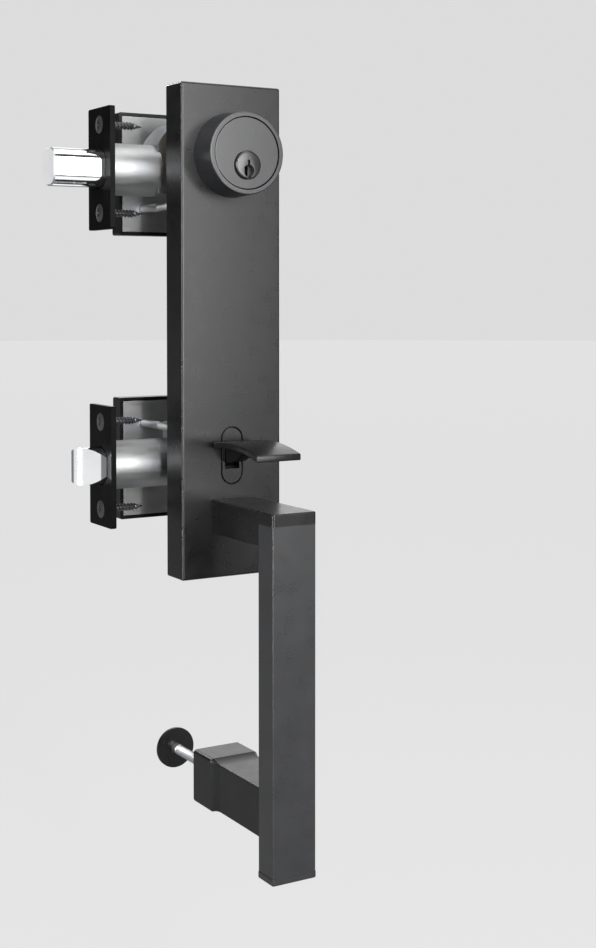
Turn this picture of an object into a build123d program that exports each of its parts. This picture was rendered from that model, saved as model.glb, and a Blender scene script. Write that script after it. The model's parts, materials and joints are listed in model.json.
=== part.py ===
# Front-door handleset: exterior plate with key cylinder, thumbpiece and square grip,
# deadbolt and spring latch in the door's edge, thumb turn and knob on the room side.
# X runs along the door's face with the door's edge towards -X, Y goes into the door, Z is up.
# The origin is on the door's exterior face, on the axis of the latch spindle. Millimetres.
import os
from math import cos, radians, sin, sqrt, tan

from build123d import *

os.makedirs("parts", exist_ok=True)

# Door that the set is made for
door_thickness = 44.5
backset = 50.0  # door's edge to the two axes
axis_spacing = 139.7  # latch spindle to deadbolt
bore_radius = 27.0  # cross bore round each axis

# Clearances
run_gap = 0.05  # radial, a shaft in its hole
seat_gap = 0.02  # radial, a fixed pin in its hole
slide_gap = 0.3  # between sliding faces
fit_gap = 0.15  # between fixed pieces that are pushed together

# Exterior plate, a shell open towards the door
plate_width = 51.8
plate_bottom = -51.1
plate_top = 178.0
plate_depth = 15.8
plate_wall = 2.5
plate_round = 1.0
post_radius = 4.0
post_setback = 0.5

# Machine screws that clamp the trim through the door
screw_radius = 2.0
screw_offset = 17.0  # from the axis, along X and along Z
screw_head_radius = 3.8
screw_head = 2.4
screw_recess = 1.4
screw_bite = 9.0

# Key cylinder and its collar
collar_radius = 18.9  # at the front
collar_base_radius = 19.6
collar_reach = 15.2
collar_wall = 2.1
collar_web = 2.0
collar_lift = 5.6  # centre above the key plug's axis
face_gap = 0.35
face_setback = 0.25
barrel_radius = 14.0
barrel_end = 4.0  # short of the door's face
nut_radius = 17.5
nut_thickness = 4.0
nut_notch_width = 3.0
nut_notch_height = 4.0
plug_radius = 6.42
plug_proud = 1.8  # in front of the disc
plug_chamfer = 0.8
plug_groove = 0.4  # round the plug, in the disc
plug_groove_depth = 0.8
plug_tail = 2.6  # beyond the barrel's end
clip_radius = 7.6
clip_thickness = 1.0
clip_groove = 5.2
clip_opening = 3.0

# Keyway and pins
key_slot_width = 1.1
key_slot_top = 2.4
key_slot_low_width = 2.0
key_slot_bottom = -5.7
key_step = -0.3
key_mouth_radius = 2.8
key_mouth_drop = 2.6
key_mouth_depth = 1.3
keyway_length = 25.8
pin_count = 5
pin_radius = 1.45
pin_pitch = 3.9
pin_first = 7.8
pin_low = 0.5
key_pin_length = 5.7
driver_length = 4.5
chamber_top = 17.3
cover_width = 4.6
cover_thickness = 1.5
pin_spring_wire = 0.16
pin_spring_turns = 5

# Thumbpiece and the insert that carries it
insert_width = 10.5
insert_height = 26.1
insert_centre = 5.6
insert_gap = 0.35
insert_bevel = 0.25  # on the insert's edge and on the edge round it
insert_flange = 2.2
flange_thickness = 2.0
slot_width = 7.6
slot_bottom = -0.5
slot_top = 10.8
ear_thickness = 1.8
ear_radius = 3.4
thumb_pivot_depth = 7.5
thumb_pivot_height = 4.0
thumb_pin_radius = 1.5
thumb_pin_length = 20.0
pad_width = 22.5
pad_rear = 18.6
pad_front = 59.9
pad_rear_height = 12.4
pad_front_height = 9.8
pad_crown = 2.2
pad_thickness = 3.0
pad_round = 0.45
neck_width = 7.0
neck_low = 2.7
neck_reach = 35.0
neck_belly = 8.0  # in front of the pad's rear edge
neck_rise = 2.6
barrel_half = 3.4
thumb_barrel_radius = 5.2
tail_thickness = 6.0
tail_inset = 0.5
tail_slant = 1.5
finger_bar_start = -1.5
finger_bar_end = 2.5
finger_bar_step = 2.0
finger_width = 2.2
finger_height = 3.0
finger_end = 11.5
thumb_spring_radius = 2.5
thumb_spring_wire = 0.35
thumb_spring_turns = 4

# Grip
arm_width = 21.5
arm_top = -14.3
arm_height = 15.6
arm_round = 0.6
cap_proud = 0.3  # beyond the arm's sides
cap_height = 5.5
cap_lip = 0.3
cap_round = 1.1
grip_proud = 0.1  # beyond the arm's sides
grip_depth = 12.9
grip_stand = 60.1  # door's face to the back of the grip
grip_wall = 1.6
grip_round = 0.4
grip_bottom = -177.0
end_cap_height = 2.8
end_cap_lip = 0.4
end_cap_round = 1.3
spigot_length = 12.0
arm_screw_spacing = 11.0
arm_screw_bite = 10.0

# Lower arm with its square foot
foot_size = 25.0
foot_round = 1.8
foot_depth = 17.0
foot_cove = 7.6
lower_arm_height = 22.2
lower_arm_rise = 29.1  # its middle above the grip's bottom
lower_bolt_radius = 2.5
lower_bolt_bite = 12.0
washer_radius = 10.0
washer_thickness = 2.0
bolt_head_radius = 5.5
bolt_head = 3.0

# Faceplates in the door's edge
faceplate_width = 25.4
faceplate_height = 57.2
faceplate_thickness = 2.5
faceplate_round = 1.0
edge_screw_spacing = 41.3
edge_screw_head = 4.25
edge_screw_cone = 2.2
edge_screw_dome = 0.6
edge_screw_radius = 1.9
edge_screw_length = 22.0
edge_screw_point = 4.0
cross_width = 0.9
cross_length = 4.4
cross_depth = 1.8

# Deadbolt
bolt_height = 17.6
bolt_thickness = 15.0
bolt_corner = 5.5
bolt_throw = 25.4
bolt_length = 39.4
bolt_chamfer = 0.6
bolt_turn_deg = 90.0
case_wall = 1.2
case_gap = 0.5
deadbolt_tube = 12.3
deadbolt_join = -24.0
link_thickness = 3.0
link_tongue = 6.0
tongue_half = 6.0
link_neck = 2.6
arm_gap = 0.5
arm_thickness = 2.0
cam_hub_radius = 6.5
cam_journal_radius = 5.0
cam_pin_radius = 2.0
cam_slot_gap = 0.6
prong_wall = 1.5
prong_rise = 0.6
pin_boss = 0.9
pin_head = 0.6
rivet_radius = 1.5
rivet_setback = 0.5
journal_proud = 0.4
blade_thickness = 1.6
blade_height = 6.4

# Spring latch
latch_radius = 8.8
latch_flat_out = 7.6
latch_flat_in = 6.0
latch_throw = 12.7
latch_pin_height = 5.0
latch_length = 22.7
latch_tip = 1.1
latch_bulge = 1.6
latch_tube = 11.5
latch_case_wall = 1.0
latch_join = -14.0
latch_house_half = 6.0
latch_turn_deg = 50.0
hub_radius = 6.9
hub_journal_radius = 6.0
hub_pin_radius = 1.5
hub_slot_gap = 0.3
latch_spring_radius = 3.6
latch_spring_wire = 0.45
latch_spring_turns = 9

# Spindle and crank
spindle_size = 7.0
spindle_start = 6.5
crank_start = 7.0
crank_thickness = 5.0
crank_radius = 6.6
crank_arm = 9.2
crank_half = 2.0

# Room side: roses, thumb turn and knob
rose_size = 60.0
rose_depth = 9.0
rose_wall = 1.5
rose_round = 1.0
base_thickness = 2.5
turn_stem_radius = 6.0
turn_flange = 9.0
flange_height = 1.5
turn_neck = 5.0
paddle_length = 30.0
paddle_thickness = 8.0
paddle_height = 13.0
paddle_round = 2.0
knob_stem_radius = 8.5
knob_flange = 11.0
knob_neck = 9.0
knob_size = 46.0
knob_depth = 24.0
knob_corner = 8.0
knob_round = 3.0
socket_depth = 12.0
set_screw_radius = 1.5
set_screw_clear = 1.0  # behind the rose
knob_spring_radius = 13.2
knob_spring_wire = 0.6
knob_spring_turns = 3

# Places worked out from the sizes above
mid = door_thickness / 2
inside = door_thickness
lock_z = axis_spacing
cyl_z = lock_z + collar_lift
plate_front = -plate_depth
plate_inner = plate_front + plate_wall
collar_front = plate_front - collar_reach
web_front = plate_front - collar_web
face_radius = collar_radius - collar_wall - face_gap
face_front = collar_front + face_setback
plug_front = face_front - plug_proud
plug_end = -barrel_end + plug_tail
edge_x = -backset
case_front = edge_x + faceplate_thickness
grip_front = -(grip_stand + grip_depth)
grip_width = arm_width + 2 * grip_proud
cap_width = arm_width + 2 * cap_proud
tube_top = arm_top - cap_height
tube_bottom = grip_bottom + end_cap_height
lower_arm_centre = grip_bottom + lower_arm_rise
cam_arm = bolt_throw / (2 * sin(radians(bolt_turn_deg / 2)))
hub_arm = latch_throw / (2 * sin(radians(latch_turn_deg / 2)))
arm_near = link_thickness / 2 + arm_gap
arm_far = arm_near + arm_thickness
bolt_front = edge_x - bolt_throw
bolt_rear = bolt_front + bolt_length
latch_front = edge_x - latch_throw
latch_rear = latch_front + latch_length
base_half = rose_size / 2 - rose_wall - slide_gap
base_face = inside + base_thickness
rose_face = inside + rose_depth
lock_screws = [(-screw_offset, lock_z - screw_offset), (screw_offset, lock_z - screw_offset)]
latch_screws = [(-screw_offset, screw_offset), (screw_offset, -screw_offset)]


def block(x0, x1, y0, y1, z0, z1):
    return Pos((x0 + x1) / 2, (y0 + y1) / 2, (z0 + z1) / 2) * Box(x1 - x0, y1 - y0, z1 - z0)


def bar_x(y, z, radius, x0, x1):
    return Pos((x0 + x1) / 2, y, z) * Rot(0, 90, 0) * Cylinder(radius, x1 - x0)


def bar_y(x, z, radius, y0, y1):
    return Pos(x, (y0 + y1) / 2, z) * Rot(90, 0, 0) * Cylinder(radius, y1 - y0)


def bar_z(x, y, radius, z0, z1):
    return Pos(x, y, (z0 + z1) / 2) * Cylinder(radius, z1 - z0)


def slab_x(outline, x0, x1):
    # The outline is drawn in Y and Z
    return extrude(Plane.YZ.offset(x0) * outline, amount=x1 - x0)


def slab_y(outline, y0, y1):
    # The outline is drawn in X and Z
    return extrude(Plane.XZ.offset(-y1) * outline, amount=y1 - y0)


def polygon(points):
    return make_face(Polyline(*points, close=True))


def group(solids):
    whole = solids[0]
    for solid in solids[1:]:
        whole += solid
    return whole


def coil(radius, wire, turns, length):
    # A helix along +Z from the origin, its wire inside the length
    rise = length - 2 * wire
    path = Helix(pitch=rise / turns, height=rise, radius=radius)
    section = Plane(origin=path @ 0, z_dir=path % 0) * Circle(wire)
    return Pos(0, 0, wire) * sweep(section, path=path, is_frenet=True)


def cross_y(x, z, y0, y1):
    long, thin = cross_length / 2, cross_width / 2
    across = block(x - long, x + long, y0, y1, z - thin, z + thin)
    upright = block(x - thin, x + thin, y0, y1, z - long, z + long)
    return across + upright


def through_screw(x, z, radius, tip, seat):
    # A pan-head screw whose head faces the room
    top = seat + screw_head
    head = bar_y(x, z, screw_head_radius, seat, top)
    head = fillet(head.faces().sort_by(Axis.Y)[-1].edges(), screw_head / 3)
    return head + bar_y(x, z, radius, tip, seat) - cross_y(x, z, top - screw_recess, top)


def exterior_plate():
    half = plate_width / 2
    shell = block(-half, half, plate_front, 0, plate_bottom, plate_top)
    shell = fillet(shell.edges().filter_by(Axis.Y), plate_round)
    shell = fillet(shell.faces().sort_by(Axis.Y)[0].edges(), plate_round)
    inner = half - plate_wall
    shell -= block(-inner, inner, plate_inner, 1, plate_bottom + plate_wall, plate_top - plate_wall)
    for x, z in lock_screws + latch_screws:
        shell += bar_y(x, z, post_radius, plate_front + plate_wall / 2, -post_setback)
        shell -= bar_y(x, z, screw_radius + seat_gap, -screw_bite - fit_gap, 0)
    shell -= bar_y(0, cyl_z, barrel_radius + fit_gap, plate_front - 1, plate_inner + 1)
    wide, tall = insert_width + 2 * insert_gap, insert_height + 2 * insert_gap
    shell -= slab_y(stadium(wide, tall), plate_front, plate_inner + 1)
    rim = shell.edges().filter_by_position(Axis.Y, plate_front - fit_gap, plate_front + fit_gap)
    rim = rim.filter_by_position(Axis.X, -wide, wide).filter_by_position(Axis.Z, -tall, tall)
    shell = chamfer(rim, insert_bevel)
    for x, z in arm_screw_places():
        shell -= bar_y(x, z, screw_radius + fit_gap, plate_front - 1, plate_inner + 1)
    return shell


def cylinder_collar():
    middle = (collar_front + plate_front) / 2
    collar = Pos(0, middle, cyl_z) * Rot(90, 0, 0) * Cone(collar_base_radius, collar_radius, collar_reach)
    collar = fillet(collar.faces().sort_by(Axis.Y)[0].edges(), collar_wall / 4)
    collar -= bar_y(0, cyl_z, collar_radius - collar_wall, collar_front - 1, web_front)
    return collar - bar_y(0, cyl_z, barrel_radius + fit_gap, web_front - 1, plate_front + 1)


def pin_places():
    return [plug_front + pin_first + index * pin_pitch for index in range(pin_count)]


def cover_ends():
    places = pin_places()
    return places[0] - cover_width / 2, places[-1] + cover_width / 2


def cylinder_body():
    body = bar_y(0, cyl_z, face_radius, face_front, web_front)
    body = fillet(body.faces().sort_by(Axis.Y)[0].edges(), face_gap)
    body += bar_y(0, cyl_z, barrel_radius, web_front, -barrel_end)
    body -= bar_y(0, lock_z, plug_radius + run_gap, face_front - 1, 0)
    body -= bar_y(0, lock_z, plug_radius + plug_groove, face_front - 1, face_front + plug_groove_depth)
    chamber = pin_radius + run_gap
    for y in pin_places():
        body -= bar_z(0, y, chamber, lock_z, lock_z + chamber_top + 1)
    start, end = cover_ends()
    half = cover_width / 2
    return body - block(-half, half, start, end, lock_z + chamber_top, cyl_z + collar_radius)


def pin_cover():
    start, end = cover_ends()
    half = cover_width / 2 - run_gap
    low = lock_z + chamber_top
    return block(-half, half, start + run_gap, end - run_gap, low, low + cover_thickness)


def cylinder_nut():
    # A ring nut with two spanner notches that pulls the cylinder against the plate
    back = plate_inner + nut_thickness
    nut = bar_y(0, cyl_z, nut_radius, plate_inner, back)
    nut -= bar_y(0, cyl_z, barrel_radius + fit_gap, plate_inner - 1, back + 1)
    across, up = nut_notch_width / 2, nut_notch_height / 2
    for notch in (-nut_radius, nut_radius):
        nut -= block(notch - across, notch + across, plate_inner - 1, back + 1, cyl_z - up, cyl_z + up)
    return nut


def key_plug():
    plug = bar_y(0, lock_z, plug_radius, plug_front, plug_end)
    plug = chamfer(plug.faces().sort_by(Axis.Y)[0].edges(), plug_chamfer)
    mouth_z = lock_z - key_mouth_drop
    plug -= bar_y(0, mouth_z, key_mouth_radius, plug_front - 1, plug_front + key_mouth_depth)
    end = plug_front + keyway_length
    wide = key_slot_low_width / 2
    thin = key_slot_width / 2
    plug -= block(-thin, thin, plug_front - 1, end, lock_z + key_step, lock_z + key_slot_top)
    plug -= block(-thin, wide, plug_front - 1, end, lock_z + key_slot_bottom, lock_z + key_step)
    for y in pin_places():
        plug -= bar_z(0, y, pin_radius + run_gap, lock_z + pin_low, lock_z + plug_radius + 1)
    start = -barrel_end + slide_gap
    ring = bar_y(0, lock_z, plug_radius + 1, start, start + clip_thickness)
    plug -= ring - bar_y(0, lock_z, clip_groove, -barrel_end, 0)
    return plug - blade(fit_gap, -barrel_end - plug_tail - fit_gap, 0)


def plug_clip():
    start = -barrel_end + slide_gap
    clip = bar_y(0, lock_z, clip_radius, start, start + clip_thickness)
    end = start + clip_thickness
    clip -= bar_y(0, lock_z, clip_groove + seat_gap, start - 1, end + 1)
    half = clip_opening / 2
    return clip - block(-half, half, start - 1, end + 1, lock_z - clip_radius - 1, lock_z)


def pins_between(low, high):
    return group([bar_z(0, y, pin_radius, low, high) for y in pin_places()])


def key_pins():
    low = lock_z + pin_low + run_gap
    top = lock_z + sqrt(plug_radius**2 - pin_radius**2) - run_gap
    return pins_between(low, min(low + key_pin_length, top))


def driver_bottom():
    return lock_z + plug_radius + 2 * run_gap


def driver_pins():
    return pins_between(driver_bottom(), driver_bottom() + driver_length)


def pin_springs():
    low = driver_bottom() + driver_length
    length = lock_z + chamber_top - low
    spring = coil(pin_radius - 2 * pin_spring_wire, pin_spring_wire, pin_spring_turns, length)
    return group([Pos(0, y, low) * spring for y in pin_places()])


def stadium(width, height):
    return Pos(0, insert_centre) * Rot(0, 0, 90) * SlotOverall(height, width)


def thumb_insert():
    front = slab_y(stadium(insert_width, insert_height), plate_front, plate_inner)
    front = chamfer(front.faces().sort_by(Axis.Y)[0].edges(), insert_bevel)
    wide = insert_width + 2 * insert_flange
    tall = insert_height + 2 * insert_flange
    back = plate_inner + flange_thickness
    insert = front + slab_y(stadium(wide, tall), plate_inner, back)
    half = slot_width / 2
    insert -= block(-half, half, plate_front - 1, back + 1, slot_bottom, slot_top)
    y, z = -thumb_pivot_depth, thumb_pivot_height
    for side in (-1, 1):
        near = side * half
        far = side * (half + ear_thickness)
        x0, x1 = min(near, far), max(near, far)
        insert += bar_x(y, z, ear_radius, x0, x1)
        insert += block(x0, x1, plate_inner + flange_thickness / 2, y, z - ear_radius, z + ear_radius)
    reach = half + ear_thickness + 1
    return insert - bar_x(y, z, thumb_pin_radius + seat_gap, -reach, reach)


def thumb_pad():
    rear, front = -pad_rear, -pad_front
    middle = ((rear + front) / 2, (pad_rear_height + pad_front_height) / 2 + pad_crown)
    drop = pad_thickness
    top = ThreePointArc((rear, pad_rear_height), middle, (front, pad_front_height))
    low = ThreePointArc(
        (front, pad_front_height - drop), (middle[0], middle[1] - drop), (rear, pad_rear_height - drop)
    )
    sides = [Line(top @ 1, low @ 0), Line(low @ 1, top @ 0)]
    pad = slab_x(make_face([top, sides[0], low, sides[1]]), -pad_width / 2, pad_width / 2)
    return fillet(pad.edges(), pad_round)


def crank_underside():
    # Lowest edge of the crank's arm at rest, over the outer side of the thumbpiece's finger
    angle = radians(latch_turn_deg / 2)
    return -(crank_arm * tan(angle) + crank_half / cos(angle))


def thumbpiece():
    y, z = -thumb_pivot_depth, thumb_pivot_height
    under = pad_front_height + pad_crown - pad_thickness
    low = Spline(
        (-pad_rear, neck_low),
        (-pad_rear - neck_belly, neck_low + neck_rise),
        (-neck_reach, under + pad_thickness / 3),
    )
    rest = Polyline(
        low @ 1,
        (-neck_reach, under + pad_thickness * 2 / 3),
        (-pad_rear + pad_round, pad_rear_height - pad_thickness / 2),
        (plate_inner, pad_rear_height - pad_thickness),
        (y, z + thumb_barrel_radius),
        (y, z - thumb_barrel_radius),
        (plate_inner, neck_low),
        low @ 0,
    )
    neck = slab_x(make_face([low, rest]), -neck_width / 2, neck_width / 2)
    top = crank_underside() - slide_gap
    bottom = top - finger_height
    tail = polygon(
        [
            (y - thumb_barrel_radius + tail_inset, z - tail_slant),
            (finger_bar_start, bottom),
            (finger_bar_end, bottom),
            (finger_bar_end, top),
            (finger_bar_end - finger_bar_step, top),
            (y + thumb_barrel_radius - tail_inset, z + tail_slant),
        ]
    )
    piece = thumb_pad() + neck + bar_x(y, z, thumb_barrel_radius, -barrel_half, barrel_half)
    piece += slab_x(tail, -tail_thickness / 2, tail_thickness / 2)
    inner = crank_arm - finger_width
    piece += block(-crank_arm, 0, finger_bar_start, finger_bar_end, bottom, top)
    piece += block(-crank_arm, -inner, finger_bar_start, finger_end, bottom, top)
    return piece - bar_x(y, z, thumb_pin_radius + run_gap, -pad_width, pad_width)


def thumb_pin():
    half = thumb_pin_length / 2
    pin = bar_x(-thumb_pivot_depth, thumb_pivot_height, thumb_pin_radius, -half, half)
    return chamfer(pin.edges().filter_by(GeomType.CIRCLE), thumb_pin_radius / 5)


def thumb_spring():
    start = slot_width / 2 + ear_thickness + slide_gap
    length = thumb_pin_length / 2 - start - slide_gap
    spring = coil(thumb_spring_radius, thumb_spring_wire, thumb_spring_turns, length)
    return Pos(start, -thumb_pivot_depth, thumb_pivot_height) * Rot(0, 90, 0) * spring


def arm_screw_places():
    z = arm_top - arm_height / 2
    return [(-arm_screw_spacing / 2, z), (arm_screw_spacing / 2, z)]


def upper_arm():
    half = arm_width / 2
    bottom = arm_top - arm_height
    arm = block(-half, half, -grip_stand, plate_front, bottom, arm_top)
    lip = grip_front - cap_lip
    cap = block(-cap_width / 2, cap_width / 2, lip, -grip_stand + cap_round, tube_top, arm_top)
    front = cap.edges().filter_by(Axis.Z).sort_by(Axis.Y)[:2]
    cap = fillet(front, cap_round)
    cap = fillet(cap.faces().sort_by(Axis.Z)[-1].edges(), arm_round)
    arm = fillet(arm.edges().filter_by(Axis.Y), arm_round)
    arm = arm + cap + tube_section(grip_wall + fit_gap, tube_top - spigot_length, tube_top + cap_height / 2)
    for x, z in arm_screw_places():
        arm -= bar_y(x, z, screw_radius + seat_gap, plate_front - arm_screw_bite - fit_gap, plate_front + 1)
    return arm


def upper_arm_screws():
    tip = plate_front - arm_screw_bite
    return group([through_screw(x, z, screw_radius, tip, plate_inner) for x, z in arm_screw_places()])


def tube_section(inset, z0, z1):
    half = grip_width / 2 - inset
    return block(-half, half, grip_front + inset, -grip_stand - inset, z0, z1)


def grip_tube():
    tube = tube_section(0, tube_bottom, tube_top)
    tube = fillet(tube.edges().filter_by(Axis.Z), grip_round)
    tube -= tube_section(grip_wall, tube_bottom - 1, tube_top + 1)
    inner = -grip_stand - grip_wall
    return tube - bar_y(0, lower_arm_centre, screw_radius + fit_gap, inner - 1, -grip_stand + 1)


def grip_end_cap():
    cap = tube_section(-end_cap_lip, grip_bottom, tube_bottom)
    cap = fillet(cap.edges().filter_by(Axis.Z), end_cap_round)
    cap = fillet(cap.faces().sort_by(Axis.Z)[0].edges(), end_cap_height / 4)
    spigot_foot = tube_bottom - end_cap_height / 4
    return cap + tube_section(grip_wall + fit_gap, spigot_foot, tube_bottom + spigot_length / 2)


def cove_section(share):
    # Share 0 is at the foot and 1 at the arm, and the sides hollow in between
    hollow = (1 - share) ** 2
    width = arm_width + (foot_size - arm_width) * hollow
    height = lower_arm_height + (foot_size - lower_arm_height) * hollow
    corner = arm_round + (foot_round - arm_round) * hollow
    place = Plane.XZ.offset(foot_depth + foot_cove * share)
    return place * (Pos(0, lower_arm_centre) * RectangleRounded(width, height, corner))


def lower_arm():
    place = Pos(0, lower_arm_centre)
    foot = slab_y(place * RectangleRounded(foot_size, foot_size, foot_round), -foot_depth, 0)
    foot += loft([cove_section(share) for share in (0, 0.3, 0.65, 1)])
    bar = place * RectangleRounded(arm_width, lower_arm_height, arm_round)
    arm = foot + slab_y(bar, -grip_stand, -foot_depth - foot_cove)
    arm -= bar_y(0, lower_arm_centre, lower_bolt_radius + seat_gap, -lower_bolt_bite - fit_gap, 1)
    screw_end = -grip_stand + arm_screw_bite
    return arm - bar_y(0, lower_arm_centre, screw_radius + seat_gap, -grip_stand - 1, screw_end)


def lower_arm_screw():
    # Its head lies inside the grip tube
    seat = -grip_stand - grip_wall
    head = bar_y(0, lower_arm_centre, screw_head_radius, seat - screw_head, seat)
    screw = head + bar_y(0, lower_arm_centre, screw_radius, seat, -grip_stand + arm_screw_bite - fit_gap)
    return screw - cross_y(0, lower_arm_centre, seat - screw_head, seat - screw_head + screw_recess)


def lower_bolt():
    seat = inside + washer_thickness
    bolt = bar_y(0, lower_arm_centre, lower_bolt_radius, -lower_bolt_bite, seat)
    head = bar_y(0, lower_arm_centre, bolt_head_radius, seat, seat + bolt_head)
    head = fillet(head.faces().sort_by(Axis.Y)[-1].edges(), bolt_head / 3)
    recess = Pos(0, lower_arm_centre) * RegularPolygon(lower_bolt_radius, 6)
    return bolt + head - slab_y(recess, seat + bolt_head / 3, seat + bolt_head + 1)


def lower_bolt_washer():
    seat = inside + washer_thickness
    washer = bar_y(0, lower_arm_centre, washer_radius, inside, seat)
    washer = fillet(washer.faces().sort_by(Axis.Y)[-1].edges(), washer_thickness / 3)
    return washer - bar_y(0, lower_arm_centre, lower_bolt_radius + fit_gap, inside - 1, seat + 1)


def edge_screw_places(axis_z):
    return [axis_z - edge_screw_spacing / 2, axis_z + edge_screw_spacing / 2]


def countersink(z):
    # Room for an edge screw's head and shank, through the faceplate
    head, shank = edge_screw_head + run_gap, edge_screw_radius + run_gap
    cone_end = edge_x + edge_screw_cone
    front, back = edge_x - 1, case_front + 1
    outline = [(front, 0), (front, head), (edge_x, head), (cone_end, shank), (back, shank), (back, 0)]
    return Pos(0, mid, z) * revolve(polygon(outline), Axis.X)


def faceplate(axis_z, opening):
    outline = Pos(mid, axis_z) * RectangleRounded(faceplate_width, faceplate_height, faceplate_round)
    plate = slab_x(outline, edge_x, case_front)
    plate -= slab_x(opening, edge_x - 1, case_front + 1)
    for z in edge_screw_places(axis_z):
        plate -= countersink(z)
    return plate


def edge_screw(z):
    # A raised countersunk head with a cross recess, and a wood screw's point
    ball = (edge_screw_head**2 + edge_screw_dome**2) / (2 * edge_screw_dome)
    half = edge_screw_head / 2
    crown = edge_x - edge_screw_dome
    end = edge_x + edge_screw_length
    bulge = ball - sqrt(ball**2 - half**2)
    dome = ThreePointArc((crown, 0), (crown + bulge, half), (edge_x, edge_screw_head))
    rest = Polyline(
        (edge_x, edge_screw_head),
        (edge_x + edge_screw_cone, edge_screw_radius),
        (end - edge_screw_point, edge_screw_radius),
        (end, 0),
        (crown, 0),
    )
    screw = Pos(0, mid, z) * revolve(make_face([dome, rest]), Axis.X)
    deep = crown + cross_depth
    long, thin = cross_length / 2, cross_width / 2
    screw -= block(crown - 1, deep, mid - long, mid + long, z - thin, z + thin)
    return screw - block(crown - 1, deep, mid - thin, mid + thin, z - long, z + long)


def edge_screws(axis_z):
    return group([edge_screw(z) for z in edge_screw_places(axis_z)])


def case(axis_z, tube, wall, join, right, half, top, journal):
    # A tube behind the faceplate that opens into a flat housing round the hub
    bottom = axis_z - tube + 2 * wall
    limit = bore_radius - slide_gap
    house = block(join, right, mid - half - wall, mid + half + wall, bottom - wall, axis_z + top + wall)
    house &= bar_y(0, axis_z, limit, mid - half - wall, mid + half + wall)
    shell = bar_x(mid, axis_z, tube, case_front, join + wall) + house
    hollow = block(join + wall, right - wall, mid - half, mid + half, bottom, axis_z + top)
    hollow &= bar_y(0, axis_z, limit - wall, mid - half, mid + half)
    shell -= hollow
    return shell - bar_y(0, axis_z, journal + run_gap, mid - half - wall - 1, mid + half + wall + 1)


def bolt_section(gap):
    wide, tall = bolt_thickness + 2 * gap, bolt_height + 2 * gap
    return Pos(mid, lock_z) * RectangleRounded(wide, tall, bolt_corner + gap)


def deadbolt_case():
    right = bolt_throw / 2 + cam_pin_radius + cam_slot_gap + prong_wall + case_gap + case_wall
    top = cam_arm + cam_pin_radius + pin_boss + case_gap
    half = bolt_thickness / 2 + case_gap
    shell = case(lock_z, deadbolt_tube, case_wall, deadbolt_join, right, half, top, cam_journal_radius)
    bore = deadbolt_tube - case_wall
    return shell - bar_x(mid, lock_z, bore, case_front - 1, deadbolt_join + 2 * case_wall)


def tongue(axis_z, rear, low, high, gap):
    half = link_thickness / 2 + gap
    bottom, top = axis_z + low - gap, axis_z + high + gap
    return block(rear - link_tongue - gap, rear + gap, mid - half, mid + half, bottom, top)


def deadbolt():
    bolt = slab_x(bolt_section(0), bolt_front, bolt_rear)
    bolt = chamfer(bolt.faces().sort_by(Axis.X)[0].edges(), bolt_chamfer)
    bolt -= tongue(lock_z, bolt_rear, -bolt_height, bolt_height, fit_gap)
    return bolt - rivet(lock_z, bolt_rear - link_tongue / 2, 0, bolt_thickness, seat_gap)


def rivet(axis_z, x, z, length, gap):
    return bar_y(x, axis_z + z, rivet_radius + gap, mid - length / 2, mid + length / 2)


def link(axis_z, rear, tongue_low, tongue_high, foot_low, foot_end, neck_low, pin_x, half_slot, floor, top):
    # Tongue in the bolt, a foot behind it, a neck over the hub and a fork round the arm's pin
    half = link_thickness / 2
    wide = half_slot + prong_wall
    neck_top = neck_low + link_neck
    parts = [
        (rear - link_tongue, rear, tongue_low, tongue_high),
        (rear, foot_end, foot_low, neck_top),
        (rear, pin_x + wide, neck_low, neck_top),
        (pin_x - wide, pin_x + wide, neck_low, top),
    ]
    y0, y1 = mid - half, mid + half
    piece = group([block(x0, x1, y0, y1, axis_z + z0, axis_z + z1) for x0, x1, z0, z1 in parts])
    slot = block(pin_x - half_slot, pin_x + half_slot, y0 - 1, y1 + 1, axis_z + floor, axis_z + top + 1)
    return piece - slot


def deadbolt_tail():
    half_slot = cam_pin_radius + cam_slot_gap
    pin_x = -bolt_throw / 2
    low_pin = cam_arm * cos(radians(bolt_turn_deg / 2))
    neck = cam_hub_radius + 2 * slide_gap
    foot_end = -cam_hub_radius - slide_gap - bolt_throw
    floor = low_pin - cam_pin_radius - case_gap
    top = cam_arm + prong_rise
    low = -tongue_half
    piece = link(lock_z, bolt_rear, low, tongue_half, low, foot_end, neck, pin_x, half_slot, floor, top)
    return piece - rivet(lock_z, bolt_rear - link_tongue / 2, 0, bolt_thickness, seat_gap)


def deadbolt_pin():
    return rivet(lock_z, bolt_rear - link_tongue / 2, 0, bolt_thickness - 2 * rivet_setback, 0)


def lever_pair(axis_z, angle_deg, reach, boss):
    # Two arms from the hub to the pin, one each side of the link
    angle = radians(angle_deg)
    tip_x, tip_z = reach * sin(angle), reach * cos(angle)
    side_x, side_z = boss * cos(angle), -boss * sin(angle)
    outline = polygon(
        [
            (side_x, axis_z + side_z),
            (tip_x + side_x, axis_z + tip_z + side_z),
            (tip_x - side_x, axis_z + tip_z - side_z),
            (-side_x, axis_z - side_z),
        ]
    )
    arms = []
    for y0, y1 in ((mid - arm_far, mid - arm_near), (mid + arm_near, mid + arm_far)):
        arms.append(slab_y(outline, y0, y1) + bar_y(tip_x, axis_z + tip_z, boss, y0, y1))
    return arms[0] + arms[1]


def hub(axis_z, radius, journal, half, wall, angle_deg, reach, pin_radius):
    end = half + wall + journal_proud
    body = bar_y(0, axis_z, radius, mid - half + slide_gap, mid + half - slide_gap)
    body += bar_y(0, axis_z, journal, mid - end, mid + end)
    body += lever_pair(axis_z, angle_deg, reach, pin_radius + pin_boss)
    angle = radians(angle_deg)
    x, z = reach * sin(angle), axis_z + reach * cos(angle)
    return body - bar_y(x, z, pin_radius + seat_gap, mid - arm_far - 1, mid + arm_far + 1)


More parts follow.
